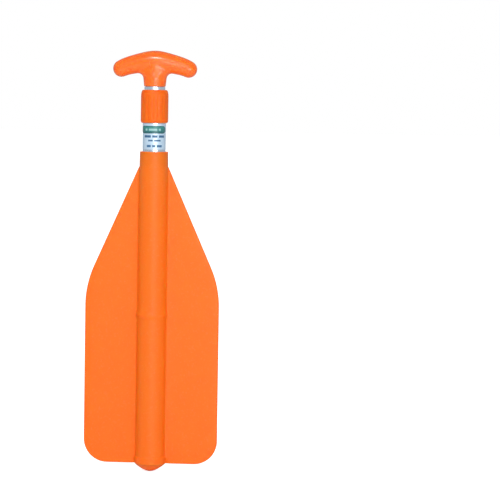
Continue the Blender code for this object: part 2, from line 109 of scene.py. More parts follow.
# Tubes and the pieces on them
TUBE_WALL = 0.9 * MM
BUSH_BORE = 14.2 * MM
WIPER_BORE = 12.95 * MM
COLLAR_BORE = OUTER_HIGH.x + GAP
COLLAR_RADIUS = 16.7 * MM
COLLAR_SHOULDER = 8.0 * MM
COLLAR_FOOT = 3.4 * MM
COLLAR_FOOT_RADIUS = 14.7 * MM
COLLAR_MOUTH = 13.25 * MM
COLLAR_TOP_RIM = 0.55 * MM     # from its mouth to where the shoulder starts
COLLAR_LIP = 3.0 * MM
FLUTES = 16
FLUTE_SIDES = 12
FLUTE_DEPTH = 0.42 * MM

# Label
LABEL_WRAP = math.radians(340)
LABEL_INSIDE = OUTER_HIGH.x + 0.04 * MM
LABEL_OUTSIDE = OUTER_HIGH.x + 0.16 * MM
INK = 0.03 * MM
LABEL_STEPS = 120
BAND_LOW = LABEL_HIGH.z - 11.7 * MM
BAND_HIGH = LABEL_HIGH.z - 2.5 * MM
BAND_RIM = 0.9 * MM            # width of the dark line round the band
BAND_WRAP = math.radians(156)
BAND_FILL_WRAP = math.radians(148)
MARK_TALL = 2.6 * MM
MARK_WIDTHS = (12, 44, 12)     # in degrees round the tube
DASH_GAP = math.radians(7)
DASH_LEAN = math.radians(8)    # how far the rows of dashes sit round from the front
DASH_ROWS = (                  # middle below the band, height, widths in degrees
    (3.6 * MM, 2.8 * MM, (38, 26, 34)),
    (8.6 * MM, 2.0 * MM, (24, 34)),
    (15.3 * MM, 2.8 * MM, (22, 16, 28)),
)

# T-grip
BAR_BEND = 92.0 * MM           # radius of the bar's centre line
BAR_END = math.radians(26.5)
BAR_DROOP = 1.0 * MM           # how far each arm sags below that line, halfway out
BAR_THICK = 12.5 * MM
BAR_END_THICK = 10.3 * MM
BAR_DEPTH = 12.8 * MM
BAR_END_DEPTH = 10.2 * MM
GRIP_SEAT = INNER_HIGH.z + GAP
GRIP_RIM = 0.7 * MM
GRIP_NECK_LOW = 13.1 * MM
GRIP_NECK_HIGH = 14.1 * MM
FLARE_BASE = 479.6 * MM
FLARE = 7.0 * MM
GRIP_VOXEL = 0.8 * MM
GRIP_SIDES = 64

# Stage
FLOOR_GLOW = 0.8               # light that the floor adds for the camera alone
SKY = 0.50
MIDDLE = (0.0, 0.0, 0.27)      # what the softboxes point at


# ---------------------------------------------------------------- mesh helpers

def finish_mesh(name, bm, sharp=SHARP_EDGE):
    """Turn a bmesh into an object with smooth shading and crisp real edges."""
    bmesh.ops.recalc_face_normals(bm, faces=bm.faces)
    mesh = bpy.data.meshes.new(name)
    bm.to_mesh(mesh)
    bm.free()
    mesh.shade_smooth()
    mesh.set_sharp_from_angle(angle=sharp)
    item = bpy.data.objects.new(name, mesh)
    bpy.context.scene.collection.objects.link(item)
    return item


def place(item, body, material, slot, *nodes):
    """Give a piece its material and its body, and hide the CAD nodes that it stands for. The slot
    argument is not used.
    """
    item.data.materials.clear()
    item.data.materials.append(material)
    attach(item, body)
    if nodes:
        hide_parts(*nodes)
    return item


def skin(bm, rings, closed=False):
    """Join each ring of vertices to the next; a ring of one vertex is a pole."""
    following = rings[1:] + rings[:1] if closed else rings[1:]
    sides = max(len(ring) for ring in rings)
    for ring, after in zip(rings, following):
        if len(ring) == 1 and len(after) == 1:
            continue
        for side in range(sides):
            turn = (side + 1) % sides
            corners = [
                ring[side % len(ring)],
                ring[turn % len(ring)],
                after[turn % len(after)],
                after[side % len(after)],
            ]
            bm.faces.new(list(dict.fromkeys(corners)))


def soften(outline, radius, steps=4):
    """Round every corner of a closed outline of (radius, height) points off the axis."""
    points = [Vector(point) for point in outline]
    soft = []
    for index, corner in enumerate(points):
        before = points[index - 1]
        after = points[(index + 1) % len(points)]
        if corner.x == 0:
            soft.append(corner)
            continue
        reach = min(radius, (before - corner).length * 0.45, (after - corner).length * 0.45)
        start = corner + (before - corner).normalized() * reach
        end = corner + (after - corner).normalized() * reach
        for step in range(steps + 1):
            share = step / steps
            first = start.lerp(corner, share)
            soft.append(first.lerp(corner.lerp(end, share), share))
    return [(point.x, point.y) for point in soft]


def turn_profile(outline, sides=FINE):
    """Turn a closed outline of (radius, height) points about Z."""
    bm = bmesh.new()
    rings = []
    for radius, height in outline:
        if radius == 0:
            rings.append([bm.verts.new((0.0, 0.0, height))])
            continue
        ring = []
        for side in range(sides):
            angle = TAU * side / sides
            ring.append(bm.verts.new((radius * math.cos(angle), radius * math.sin(angle), height)))
        rings.append(ring)
    skin(bm, rings, closed=True)
    return bm


def tube_outline(outer, inner, bottom, top):
    return [(outer, top), (outer, bottom), (inner, bottom), (inner, top)]


def with_modifiers_applied(item):
    """Replace an object's mesh with what its modifiers make of it."""
    graph = bpy.context.evaluated_depsgraph_get()
    made = bpy.data.meshes.new_from_object(item.evaluated_get(graph))
    item.modifiers.clear()
    item.data = made
    return item


def drill_across(item, height, radius):
    """Drill a hole along X through a piece."""
    bpy.ops.mesh.primitive_cylinder_add(
        vertices=40,
        radius=radius,
        depth=4 * SPINE,
        location=(0, 0, height),
        rotation=(0, math.pi / 2, 0),
    )
    cutter = bpy.context.active_object
    cut = item.modifiers.new("hole", "BOOLEAN")
    cut.operation = "DIFFERENCE"
    cut.solver = "EXACT"
    cut.object = cutter
    with_modifiers_applied(item)
    item.data.set_sharp_from_angle(angle=SHARP_EDGE)
    bpy.data.objects.remove(cutter)


def smooth_step(share):
    share = min(1.0, max(0.0, share))
    return share * share * (3 - 2 * share)


# ---------------------------------------------------------------- materials

class Nodes:
    """A few short ways to build a node tree."""

    def __init__(self, name):
        self.material = bpy.data.materials.new(name)
        self.material.use_nodes = True
        self.tree = self.material.node_tree
        self.shader = self.tree.nodes["Principled BSDF"]
        coordinates = self.tree.nodes.new("ShaderNodeTexCoord")
        self.place = coordinates.outputs["Object"]

    def link(self, source, target):
        self.tree.links.new(source, target)

    def mapped(self, scale):
        node = self.tree.nodes.new("ShaderNodeMapping")
        node.inputs["Scale"].default_value = scale
        self.link(self.place, node.inputs["Vector"])
        return node.outputs["Vector"]

    def noise(self, scale, detail=3.0, stretch=(1.0, 1.0, 1.0), roughness=0.5):
        node = self.tree.nodes.new("ShaderNodeTexNoise")
        node.inputs["Scale"].default_value = scale
        node.inputs["Detail"].default_value = detail
        node.inputs["Roughness"].default_value = roughness
        self.link(self.mapped(stretch), node.inputs["Vector"])
        return node.outputs["Fac"]

    def remap(self, source, low, high, to_low, to_high):
        node = self.tree.nodes.new("ShaderNodeMapRange")
        node.inputs["From Min"].default_value = low
        node.inputs["From Max"].default_value = high
        node.inputs["To Min"].default_value = to_low
        node.inputs["To Max"].default_value = to_high
        self.link(source, node.inputs["Value"])
        return node.outputs["Result"]

    def math(self, operation, first, second):
        node = self.tree.nodes.new("ShaderNodeMath")
        node.operation = operation
        for socket, value in zip(node.inputs, (first, second)):
            if isinstance(value, (int, float)):
                socket.default_value = value
            else:
                self.link(value, socket)
        return node.outputs["Value"]

    def blend(self, share, first, second):
        node = self.tree.nodes.new("ShaderNodeMix")
        node.data_type = "RGBA"
        sockets = [s for s in node.inputs if s.type == "RGBA"]
        for socket, value in zip(sockets, (first, second)):
            if isinstance(value, tuple):
                socket.default_value = (*value, 1.0)
            else:
                self.link(value, socket)
        factor = [s for s in node.inputs if s.type == "VALUE"][0]
        self.link(share, factor)
        return [s for s in node.outputs if s.type == "RGBA"][0]

    def bump(self, height, strength, distance, onto=None):
        node = self.tree.nodes.new("ShaderNodeBump")
        node.inputs["Strength"].default_value = strength
        node.inputs["Distance"].default_value = distance
        self.link(height, node.inputs["Height"])
        if onto is not None:
            self.link(onto, node.inputs["Normal"])
        return node.outputs["Normal"]

    def colour(self, source):
        self.link(source, self.shader.inputs["Base Color"])

    def rough(self, source):
        self.link(source, self.shader.inputs["Roughness"])

    def normal(self, source):
        self.link(source, self.shader.inputs["Normal"])


def scaled(colour, share):
    return tuple(channel * share for channel in colour)


def moulded_plastic(name, colour, rough_low, rough_high, grain, shine):
    """Pigmented moulding: faint flow streaks, a fine spark-eroded grain and light rubbing."""
    n = Nodes(name)
    flow = n.noise(9.0, 3.0, (1.0, 1.0, 0.35))
    speck = n.noise(420.0, 2.0)
    streaked = n.blend(n.remap(flow, 0.3, 0.7, 0.0, 1.0), scaled(colour, 0.96), colour)
    pale = tuple(channel + (1 - channel) * 0.03 for channel in colour)
    n.colour(n.blend(n.remap(speck, 0.55, 0.75, 0.0, 0.6), streaked, pale))
    rubbed = n.noise(55.0, 4.0, (1.0, 1.0, 0.4), 0.6)
    n.rough(n.remap(rubbed, 0.3, 0.7, rough_low, rough_high))
    wave = n.bump(n.noise(22.0, 1.0), 0.12, 0.6 * MM)
    fine = n.bump(n.noise(1400.0, 2.0), grain, 0.05 * MM, wave)
    n.normal(fine)
    n.shader.inputs["Specular IOR Level"].default_value = shine
    n.shader.inputs["Subsurface Weight"].default_value = 0.6
    n.shader.inputs["Subsurface Radius"].default_value = (1.0, 0.12, 0.04)
    n.shader.inputs["Subsurface Scale"].default_value = 9.0 * MM
    return n.material


def drawn_aluminium(name, colour):
    """Drawn tube: fine lines along its length over a soft satin shine."""
    n = Nodes(name)
    lines = n.noise(1.0, 4.0, (2600.0, 2600.0, 9.0), 0.6)
    clouds = n.noise(35.0, 3.0, (1.0, 1.0, 0.3))
    n.colour(n.blend(clouds, scaled(colour, 0.94), colour))
    uneven = n.math("ADD", n.math("MULTIPLY", lines, 0.16), n.math("MULTIPLY", clouds, 0.08))
    n.rough(n.math("ADD", uneven, 0.13))
    n.normal(n.bump(lines, 0.25, 0.02 * MM))
    n.shader.inputs["Metallic"].default_value = 1.0
    return n.material


def turned_steel():
    """Turned or rolled stainless: fine rings round the axis."""
    n = Nodes("turned_steel")
    rings = n.noise(1.0, 2.0, (120.0, 120.0, 5200.0))
    n.colour(n.blend(rings, (0.42, 0.43, 0.45), (0.60, 0.61, 0.63)))
    n.rough(n.remap(rings, 0.3, 0.7, 0.26, 0.42))
    n.normal(n.bump(rings, 0.2, 0.02 * MM))
    n.shader.inputs["Metallic"].default_value = 1.0
    return n.material


def natural_nylon():
    """Unpigmented nylon: milky, waxy and slightly see-through."""
    n = Nodes("natural_nylon")
    cloud = n.noise(90.0, 3.0)
    n.colour(n.blend(cloud, (0.70, 0.69, 0.63), (0.80, 0.79, 0.74)))
    n.rough(n.remap(cloud, 0.3, 0.7, 0.38, 0.5))
    n.normal(n.bump(n.noise(1800.0, 2.0), 0.15, 0.04 * MM))
    n.shader.inputs["Subsurface Weight"].default_value = 0.15
    n.shader.inputs["Subsurface Scale"].default_value = 1.5 * MM
    return n.material


def seal_rubber():
    n = Nodes("seal_rubber")
    bloom = n.noise(160.0, 4.0)
    n.colour(n.blend(bloom, (0.018, 0.018, 0.019), (0.045, 0.045, 0.047)))
    n.rough(n.remap(bloom, 0.3, 0.7, 0.6, 0.8))
    n.normal(n.bump(n.noise(2400.0, 2.0), 0.3, 0.04 * MM))
    return n.material


def label_film():
    """Silvered film under a clear gloss, with small rubs."""
    n = Nodes("label_film")
    cloud = n.noise(130.0, 4.0)
    n.colour(n.blend(cloud, (0.44, 0.60, 0.74), (0.58, 0.72, 0.84)))
    n.rough(n.remap(cloud, 0.3, 0.7, 0.32, 0.42))
    n.normal(n.bump(n.noise(260.0, 2.0), 0.1, 0.05 * MM))
    n.shader.inputs["Metallic"].default_value = 0.3
    n.shader.inputs["Coat Weight"].default_value = 0.15
    n.shader.inputs["Coat Roughness"].default_value = 0.12
    return n.material


def printed_ink(name, top, bottom, low, high):
    """Ink that shades from one colour to another between two heights, slightly mottled."""
    n = Nodes(name)
    split = n.tree.nodes.new("ShaderNodeSeparateXYZ")
    n.link(n.place, split.inputs["Vector"])
    rise = n.remap(split.outputs["Z"], low, high, 0.0, 1.0)
    mottle = n.noise(700.0, 3.0)
    shaded = n.blend(rise, bottom, top)
    n.colour(n.blend(n.remap(mottle, 0.45, 0.8, 0.0, 0.25), shaded, (0.30, 0.42, 0.45)))
    n.rough(n.remap(mottle, 0.3, 0.7, 0.36, 0.46))
    n.shader.inputs["Coat Weight"].default_value = 0.1
    n.shader.inputs["Coat Roughness"].default_value = 0.15
    return n.material


def studio_floor():
    """Matt white paper, bright enough to the camera to run on into the white backdrop."""
    n = Nodes("studio_floor")
    paper = n.noise(3.0, 2.0)
    n.colour(n.blend(paper, (0.93, 0.93, 0.93), (0.95, 0.95, 0.95)))
    n.rough(n.remap(paper, 0.3, 0.7, 0.7, 0.8))
    seen = n.tree.nodes.new("ShaderNodeLightPath")
    n.shader.inputs["Emission Color"].default_value = (1.0, 1.0, 1.0, 1.0)
    glow = n.math("MULTIPLY", seen.outputs["Is Camera Ray"], FLOOR_GLOW)
    n.link(glow, n.shader.inputs["Emission Strength"])
    return n.material


# ---------------------------------------------------------------- blade

def plate_half_width(height):
    """Half width of the blade at a height above the lower corners."""
    tangent = SHOULDER_BLEND * math.tan(SHOULDER_ANGLE / 2)
    blend_bottom = SHOULDER_CORNER - tangent
    blend_top = blend_bottom + SHOULDER_BLEND * math.sin(SHOULDER_ANGLE)
    if height <= blend_bottom:
        return HALF_WIDTH
    if height >= blend_top:
        return HALF_WIDTH - (height - SHOULDER_CORNER) * math.tan(SHOULDER_ANGLE)
    rise = height - blend_bottom
    return HALF_WIDTH - SHOULDER_BLEND + math.sqrt(SHOULDER_BLEND ** 2 - rise ** 2)


def spine_radius(height):
    """Outer radius of the spine, with the neck, the ring bead and the foot boss."""
    if height >= NECK_BASE:
        share = (height - NECK_BASE) / (BLADE_HIGH.z - NECK_BASE)
        return NECK_LOW + (NECK_TOP - NECK_LOW) * share
    taper = min(1.0, max(0.0, (height - BEAD) / (NECK_BASE - BEAD)))
    neck = smooth_step((height - NECK_BASE + NECK_SLOPE) / NECK_SLOPE)
    radius = SPINE + (SPINE_TOP - SPINE) * taper
    radius += (NECK_LOW - SPINE_TOP) * neck
    from_bead = abs(height - BEAD) / BEAD_HALF
    if from_bead < 1:
        radius += BEAD_PROUD * math.cos(from_bead * math.pi / 2) ** 1.4
    return radius + (FOOT - SPINE) * smooth_step((FOOT_TOP + FOOT_SLOPE - height) / FOOT_SLOPE)


def shoulder_top():
    """Height where the shoulder line meets the spine."""
    return SHOULDER_CORNER + (HALF_WIDTH - SPINE) / math.tan(SHOULDER_ANGLE)


def upper_heights(top, bottom):
    """Heights from the shoulder's top to the lower corners, closer round the bead."""
    heights = [top - PLATE_RUN_OUT * step / FADE_STEPS for step in range(FADE_STEPS + 1)]
    height = heights[-1]
    while height > bottom:
        near_bead = abs(height - BEAD) < BEAD_HALF + 1.2 * MM
        height -= 0.6 * MM if near_bead else 4.0 * MM
        heights.append(height)
    heights[-1] = bottom
    return heights


def lower_edge():
    """Edge points round the lower corner, along the bottom and down into the foot."""
    corner = Vector((HALF_WIDTH - FOOT_CORNER, PLATE_BOTTOM + FOOT_CORNER))
    points = []
    for step in range(1, CORNER_STEPS + 1):
        angle = -math.pi / 2 * step / CORNER_STEPS
        points.append(corner + FOOT_CORNER * Vector((math.cos(angle), math.sin(angle))))
    corner_end = points[-1]
    run = Vector((FOOT + PLATE_RUN_OUT, PLATE_BOTTOM))
    for step in range(1, BOTTOM_STEPS + 1):
        points.append(corner_end.lerp(run, step / BOTTOM_STEPS))
    drop = PLATE_BOTTOM - BLADE_LOW.z - FOOT_RIM
    for step in range(1, RUN_OUT_STEPS + 1):
        angle = math.pi / 2 * step / RUN_OUT_STEPS
        across = FOOT + PLATE_RUN_OUT * (1 - math.sin(angle))
        points.append(Vector((across, PLATE_BOTTOM - drop * (1 - math.cos(angle)))))
    return points


def lower_heights(count):
    """Heights on the spine that go with the lower edge's points."""
    top = PLATE_BOTTOM + FOOT_CORNER
    slope_top = FOOT_TOP + FOOT_SLOPE
    bottom = BLADE_LOW.z + FOOT_RIM
    on_slope = 7
    below = RUN_OUT_STEPS
    above = count - on_slope - below
    heights = [top + (slope_top - top) * step / above for step in range(1, above + 1)]
    heights += [slope_top - FOOT_SLOPE * step / on_slope for step in range(1, on_slope + 1)]
    heights += [FOOT_TOP + (bottom - FOOT_TOP) * step / below for step in range(1, below + 1)]
    return heights


def section_quarter(height, radius, presence=0.0, edge=None, inward=None):
    """A quarter of the blade's section: spine, fillet, plate and rounded rim, front to edge.

    Presence runs from 0, where only the round spine is left, to 1, a full plate.
    """
    fillet = PLATE_FILLET * presence
    plate = HALF_PLATE * presence
    rim = PLATE_RIM * presence
    reach = math.sqrt((radius + fillet) ** 2 - (plate + fillet) ** 2)
    tangent = math.atan2(reach, plate + fillet)
    points = []
    for step in range(CIRCLE_STEPS + 1):
        angle = tangent * step / CIRCLE_STEPS
        points.append((radius * math.sin(angle), radius * math.cos(angle), height))
    start = math.atan2(-(plate + fillet), -reach)
    for step in range(1, FILLET_STEPS + 1):
        angle = start + (-math.pi / 2 - start) * step / FILLET_STEPS
        across = reach + fillet * math.cos(angle)
        points.append((across, plate + fillet + fillet * math.sin(angle), height))
    if presence == 0.0:
        edge = Vector((radius, height))
        inward = Vector((0.0, 0.0))
    inner = Vector((reach, height))
    rim_start = edge + inward * rim
    for step in range(1, PLATE_STEPS + 1):
        spot = inner.lerp(rim_start, step / PLATE_STEPS)
        points.append((spot.x, plate, spot.y))
    for step in range(1, RIM_STEPS + 1):
        angle = math.pi / 2 * step / RIM_STEPS
        spot = edge + inward * (rim * (1 - math.sin(angle)))
        points.append((spot.x, plate * math.cos(angle), spot.y))
    return points


def section_ring(bm, quarter):
    """Mirror a quarter section all the way round the spine."""
    back = quarter[-2::-1]
    ring = [(x, -y, z) for x, y, z in quarter]
    ring += back
    ring += [(-x, y, z) for x, y, z in quarter[1:]]
    ring += [(-x, -y, z) for x, y, z in back[:-1]]
    return [bm.verts.new(point) for point in ring]


def neck_rows(top):
    """Quarter sections from the neck's rim down to the top of the shoulder."""
    rows = []
    for step in range(ROUND_STEPS + 1):
        angle = math.pi / 2 * step / ROUND_STEPS
        height = BLADE_HIGH.z - NECK_RIM * (1 - math.sin(angle))
        rows.append(section_quarter(height, NECK_TOP - NECK_RIM * (1 - math.cos(angle))))
    rows.reverse()
    neck_steps = 6
    rim_bottom = BLADE_HIGH.z - NECK_RIM
    for step in range(1, neck_steps):
        height = rim_bottom + (top + 4 * MM - rim_bottom) * step / neck_steps
        rows.append(section_quarter(height, spine_radius(height)))
    for height in (top + 2 * MM, top + 1 * MM, top + 0.5 * MM):
        rows.append(section_quarter(height, spine_radius(height)))
    return rows


def plate_rows(top):
    """Quarter sections down the plates, from the top of the shoulder into the foot."""
    heights = upper_heights(top, PLATE_BOTTOM + FOOT_CORNER)
    edges = [Vector((plate_half_width(height), height)) for height in heights]
    low = lower_edge()
    heights += lower_heights(len(low))
    edges += low
    rows = []
    for index, (height, edge) in enumerate(zip(heights, edges)):
        before = edges[max(index - 1, 0)]
        after = edges[min(index + 1, len(edges) - 1)]
        along = (after - before).normalized()
        inward = Vector((along.y, -along.x))
        fade_in = smooth_step((top - height) / PLATE_RUN_OUT)
        left = len(edges) - 1 - index
        fade_out = smooth_step(left / RUN_OUT_STEPS)
        presence = min(fade_in, fade_out)
        rows.append(section_quarter(height, spine_radius(height), presence, edge, inward))
    return rows


def foot_rows():
    """Quarter sections round the foot's rim, then up through the bore to the neck's mouth."""
    rows = []
    for step in range(1, ROUND_STEPS + 1):
        angle = math.pi / 2 * step / ROUND_STEPS
        height = BLADE_LOW.z + FOOT_RIM * (1 - math.sin(angle))
        rows.append(section_quarter(height, FOOT - FOOT_RIM * (1 - math.cos(angle))))
    step_height = BUSH_LOW.z - GAP
    for radius, height in (
        (SPINE_BORE, BLADE_LOW.z),
        (SPINE_BORE, step_height),
        (NECK_BORE, step_height),
        (NECK_BORE, BLADE_HIGH.z - CHAMFER),
        (NECK_BORE + CHAMFER, BLADE_HIGH.z),
    ):
        rows.append(section_quarter(height, radius))
    return rows


def build_blade(material):
    top = shoulder_top()
    bm = bmesh.new()
    rows = neck_rows(top) + plate_rows(top) + foot_rows()
    rings = [section_ring(bm, quarter) for quarter in rows]
    skin(bm, rings, closed=True)
    bmesh.ops.remove_doubles(bm, verts=bm.verts, dist=0.002 * MM)
    bmesh.ops.dissolve_degenerate(bm, edges=bm.edges, dist=0.001 * MM)
    place(finish_mesh("blade_moulding", bm), "blade", material, "blade_plastic", "blade")


def build_nose(material):
    """Blunt nose, with its spigot up inside the spine."""
    radius = NOSE_HIGH.x - 0.1 * MM
    rim = BLADE_LOW.z - 0.1 * MM
    steps = 18
    dome = []
    for step in range(steps + 1):
        share = 1 - step / steps
        dome.append((radius * share, rim * share ** NOSE_POWER))
    spigot = SPINE_BORE - GAP
    upper = soften([(0, NOSE_HIGH.z), (spigot, NOSE_HIGH.z), (spigot, rim)], 1.0 * MM)
    bm = turn_profile([point for point in upper if point[1] > rim] + [(spigot, rim)] + dome)
    place(finish_mesh("nose_cap", bm), "blade", material, "blade_plastic", "nose_plug")


def build_neck_bush(material):
    outline = tube_outline(BUSH_HIGH.x, BUSH_BORE, BUSH_LOW.z, BUSH_HIGH.z)
    bm = turn_profile(soften(outline, 0.4 * MM))
    place(finish_mesh("guide_bush", bm), "blade", material, "collar_plastic", "neck_bush")


# ---------------------------------------------------------------- tubes, collar, label

def build_outer_tube(material):
    radius = OUTER_HIGH.x
    outline = tube_outline(radius, radius - TUBE_WALL, OUTER_LOW.z, OUTER_HIGH.z)
    tube = finish_mesh("outer_tube_drawn", turn_profile(soften(outline, 0.25 * MM, 3)))
    pin_low, pin_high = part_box("lower_lock_pin")
    drill_across(tube, (pin_low.z + pin_high.z) / 2, (pin_high.z - pin_low.z) / 2 + PIN_GAP)
    place(tube, "mid_shaft", material, "aluminium_tube", "outer_tube")


def build_inner_tube(material):
    radius = INNER_HIGH.x
    outline = tube_outline(radius, radius - TUBE_WALL, INNER_LOW.z, INNER_HIGH.z)
    tube = finish_mesh("inner_tube_drawn", turn_profile(soften(outline, 0.25 * MM, 3)))
    lock_low, lock_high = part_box("upper_lock_pin")
    for low, high in ((lock_low, lock_high), (PIN_LOW, PIN_HIGH)):
        drill_across(tube, (low.z + high.z) / 2, (high.z - low.z) / 2 + PIN_GAP)
    place(tube, "handle", material, "aluminium_tube", "inner_tube")


def collar_outside():
    """Side of the collar: soft shoulder above, straight grip, short roll below."""
    top_drop = COLLAR_RADIUS - COLLAR_MOUTH - COLLAR_TOP_RIM
    foot_drop = COLLAR_RADIUS - COLLAR_FOOT_RADIUS
    outside = []
    shoulder_steps = 12
    for step in range(shoulder_steps + 1):
        angle = math.pi / 2 * step / shoulder_steps
        radius = COLLAR_RADIUS - top_drop * (1 - math.sin(angle)) ** 1.1
        outside.append((radius, COLLAR_HIGH.z - COLLAR_SHOULDER * (1 - math.cos(angle))))
    side_steps = 14
    side_top = COLLAR_HIGH.z - COLLAR_SHOULDER
    side_bottom = COLLAR_LOW.z + COLLAR_FOOT
    for step in range(1, side_steps):
        height = side_top + (side_bottom - side_top) * step / side_steps
        outside.append((COLLAR_RADIUS, height))
    foot_steps = 8
    for step in range(foot_steps + 1):
        angle = math.pi / 2 * step / foot_steps
        radius = COLLAR_RADIUS - foot_drop * (1 - math.cos(angle))
        outside.append((radius, side_bottom - COLLAR_FOOT * math.sin(angle)))
    return outside


def build_collar(material):
    lip = COLLAR_HIGH.z - COLLAR_LIP
    inside = [
        (COLLAR_BORE + CHAMFER, COLLAR_LOW.z),
        (COLLAR_BORE, COLLAR_LOW.z + 0.4 * MM),
        (COLLAR_BORE, lip),
        (COLLAR_MOUTH, lip),
        (COLLAR_MOUTH, COLLAR_HIGH.z - CHAMFER),
        (COLLAR_MOUTH + CHAMFER, COLLAR_HIGH.z),
    ]
    bm = turn_profile(collar_outside() + inside, FLUTES * FLUTE_SIDES)
    fade_top = COLLAR_HIGH.z - 4.0 * MM
    fade_bottom = COLLAR_LOW.z + 2.0 * MM
    for vertex in bm.verts:
        radius = math.hypot(vertex.co.x, vertex.co.y)
        if radius < COLLAR_BORE + 0.5 * MM:
            continue
        share = smooth_step((fade_top - vertex.co.z) / (5 * MM))
        share *= smooth_step((vertex.co.z - fade_bottom) / (4 * MM))
        angle = math.atan2(vertex.co.y, vertex.co.x)
        groove = (0.5 + 0.5 * math.cos(FLUTES * angle)) ** 2.2
        scale = 1 - FLUTE_DEPTH * share * groove / radius
        vertex.co.x *= scale
        vertex.co.y *= scale
    collar = finish_mesh("hand_collar", bm, math.radians(50))
    place(collar, "mid_shaft", material, "collar_plastic", "collar")


def build_wiper(material):
    outline = tube_outline(WIPER_HIGH.x, WIPER_BORE, WIPER_LOW.z, WIPER_HIGH.z)
    bm = turn_profile(soften(outline, 0.35 * MM))
    place(finish_mesh("wiper_seal", bm), "mid_shaft", material, "seal_rubber", "wiper_ring")


def curved_patch(bm, middle, wrap, low, high, inside, outside, steps, rounding=0.0):
    """A thin closed patch that lies round the tube, its ends rounded over that angle."""
    centre = (high + low) / 2
    rings = []
    for step in range(steps + 1):
        turn = wrap * (step / steps - 0.5)
        half = (high - low) / 2
        if rounding:
            past = max(0.0, abs(turn) - wrap / 2 + rounding) / rounding
            half *= math.sqrt(max(0.01, 1 - past * past))
        top = centre + half
        bottom = centre - half
        corners = [(outside, top), (outside, bottom), (inside, bottom), (inside, top)]
        angle = middle + turn
        ring = [(r * math.cos(angle), r * math.sin(angle), z) for r, z in corners]
        rings.append([bm.verts.new(point) for point in ring])
    skin(bm, rings)
    bm.faces.new(rings[0])
    bm.faces.new(rings[-1])


def dash_row(bm, front, height, tall, dashes, inside):
    """Plain dashes side by side, centred on an angle, their widths in degrees."""
    widths = [math.radians(dash) for dash in dashes]
    angle = front - (sum(widths) + DASH_GAP * (len(widths) - 1)) / 2
    low = height - tall / 2
    high = height + tall / 2
    for width in widths:
        curved_patch(bm, angle + width / 2, width, low, high, inside, inside + INK, 10)
        angle += width + DASH_GAP


def build_label(film, band_ink, rim_ink, dash_ink, mark_ink):
    """Film with a rounded band, plain marks on it, and three rows of plain dashes below."""
    front = -math.pi / 2
    low = LABEL_LOW.z
    high = LABEL_HIGH.z
    bm = bmesh.new()
    curved_patch(bm, front, LABEL_WRAP, low, high, LABEL_INSIDE, LABEL_OUTSIDE, LABEL_STEPS)
    place(finish_mesh("label_sheet", bm), "mid_shaft", film, "label_film", "label")

    fill_low = BAND_LOW + BAND_RIM
    fill_high = BAND_HIGH - BAND_RIM
    layers = (
        ("label_band_rim", rim_ink, BAND_WRAP, BAND_LOW, BAND_HIGH),
        ("label_band", band_ink, BAND_FILL_WRAP, fill_low, fill_high),
    )
    base = LABEL_OUTSIDE
    for name, ink, wrap, bottom, top in layers:
        bm = bmesh.new()
        curved_patch(bm, front, wrap, bottom, top, base, base + INK, LABEL_STEPS, wrap / 6)
        place(finish_mesh(name, bm), "mid_shaft", ink, "label_film")
        base += INK
    bm = bmesh.new()
    dash_row(bm, front, (fill_low + fill_high) / 2, MARK_TALL, MARK_WIDTHS, base)
    place(finish_mesh("label_marks", bm), "mid_shaft", mark_ink, "label_film")

    bm = bmesh.new()
    for below, tall, dashes in DASH_ROWS:
        dash_row(bm, front + DASH_LEAN, BAND_LOW - below, tall, dashes, LABEL_OUTSIDE)
    place(finish_mesh("label_dashes", bm), "mid_shaft", dash_ink, "label_film")


# ---------------------------------------------------------------- T-grip

def bar_ring(bm, centre, tangent, thick, depth):
    """Ellipse of vertices square to the bar's centre line."""
    upright = Vector((-tangent.z, 0.0, tangent.x))
    ring = []
    for side in range(GRIP_SIDES):
        angle = TAU * side / GRIP_SIDES
        offset = upright * (thick * math.cos(angle))
        ring.append(bm.verts.new(centre + offset + Vector((0.0, depth * math.sin(angle), 0.0))))
    return ring


def bar_station(angle):
    """Centre, direction and half sizes of the bar at an angle along its bend."""
    share = abs(angle) / BAR_END
    droop = BAR_DROOP * math.sin(math.pi * share) ** 2
    height = GRIP_HIGH.z - BAR_THICK - BAR_BEND * (1 - math.cos(angle)) - droop
    centre = Vector((BAR_BEND * math.sin(angle), 0.0, height))
    tangent = Vector((math.cos(angle), 0.0, -math.sin(angle)))
    thick = BAR_THICK + (BAR_END_THICK - BAR_THICK) * share ** 1.5
    depth = BAR_DEPTH + (BAR_END_DEPTH - BAR_DEPTH) * smooth_step(share)
    return centre, tangent, thick, depth


def bar_cap(bm, side):
    """Rounded end of the bar, from its tip inward."""
    steps = 14
    centre, tangent, thick, depth = bar_station(side * BAR_END)
    outward = tangent * side
    rings = [[bm.verts.new(centre + outward * thick)]]
    for step in range(1, steps):
        angle = math.pi / 2 * step / steps
        middle = centre + outward * (thick * math.cos(angle))
        rings.append(bar_ring(bm, middle, tangent, thick * math.sin(angle), depth * math.sin(angle)))
    return rings


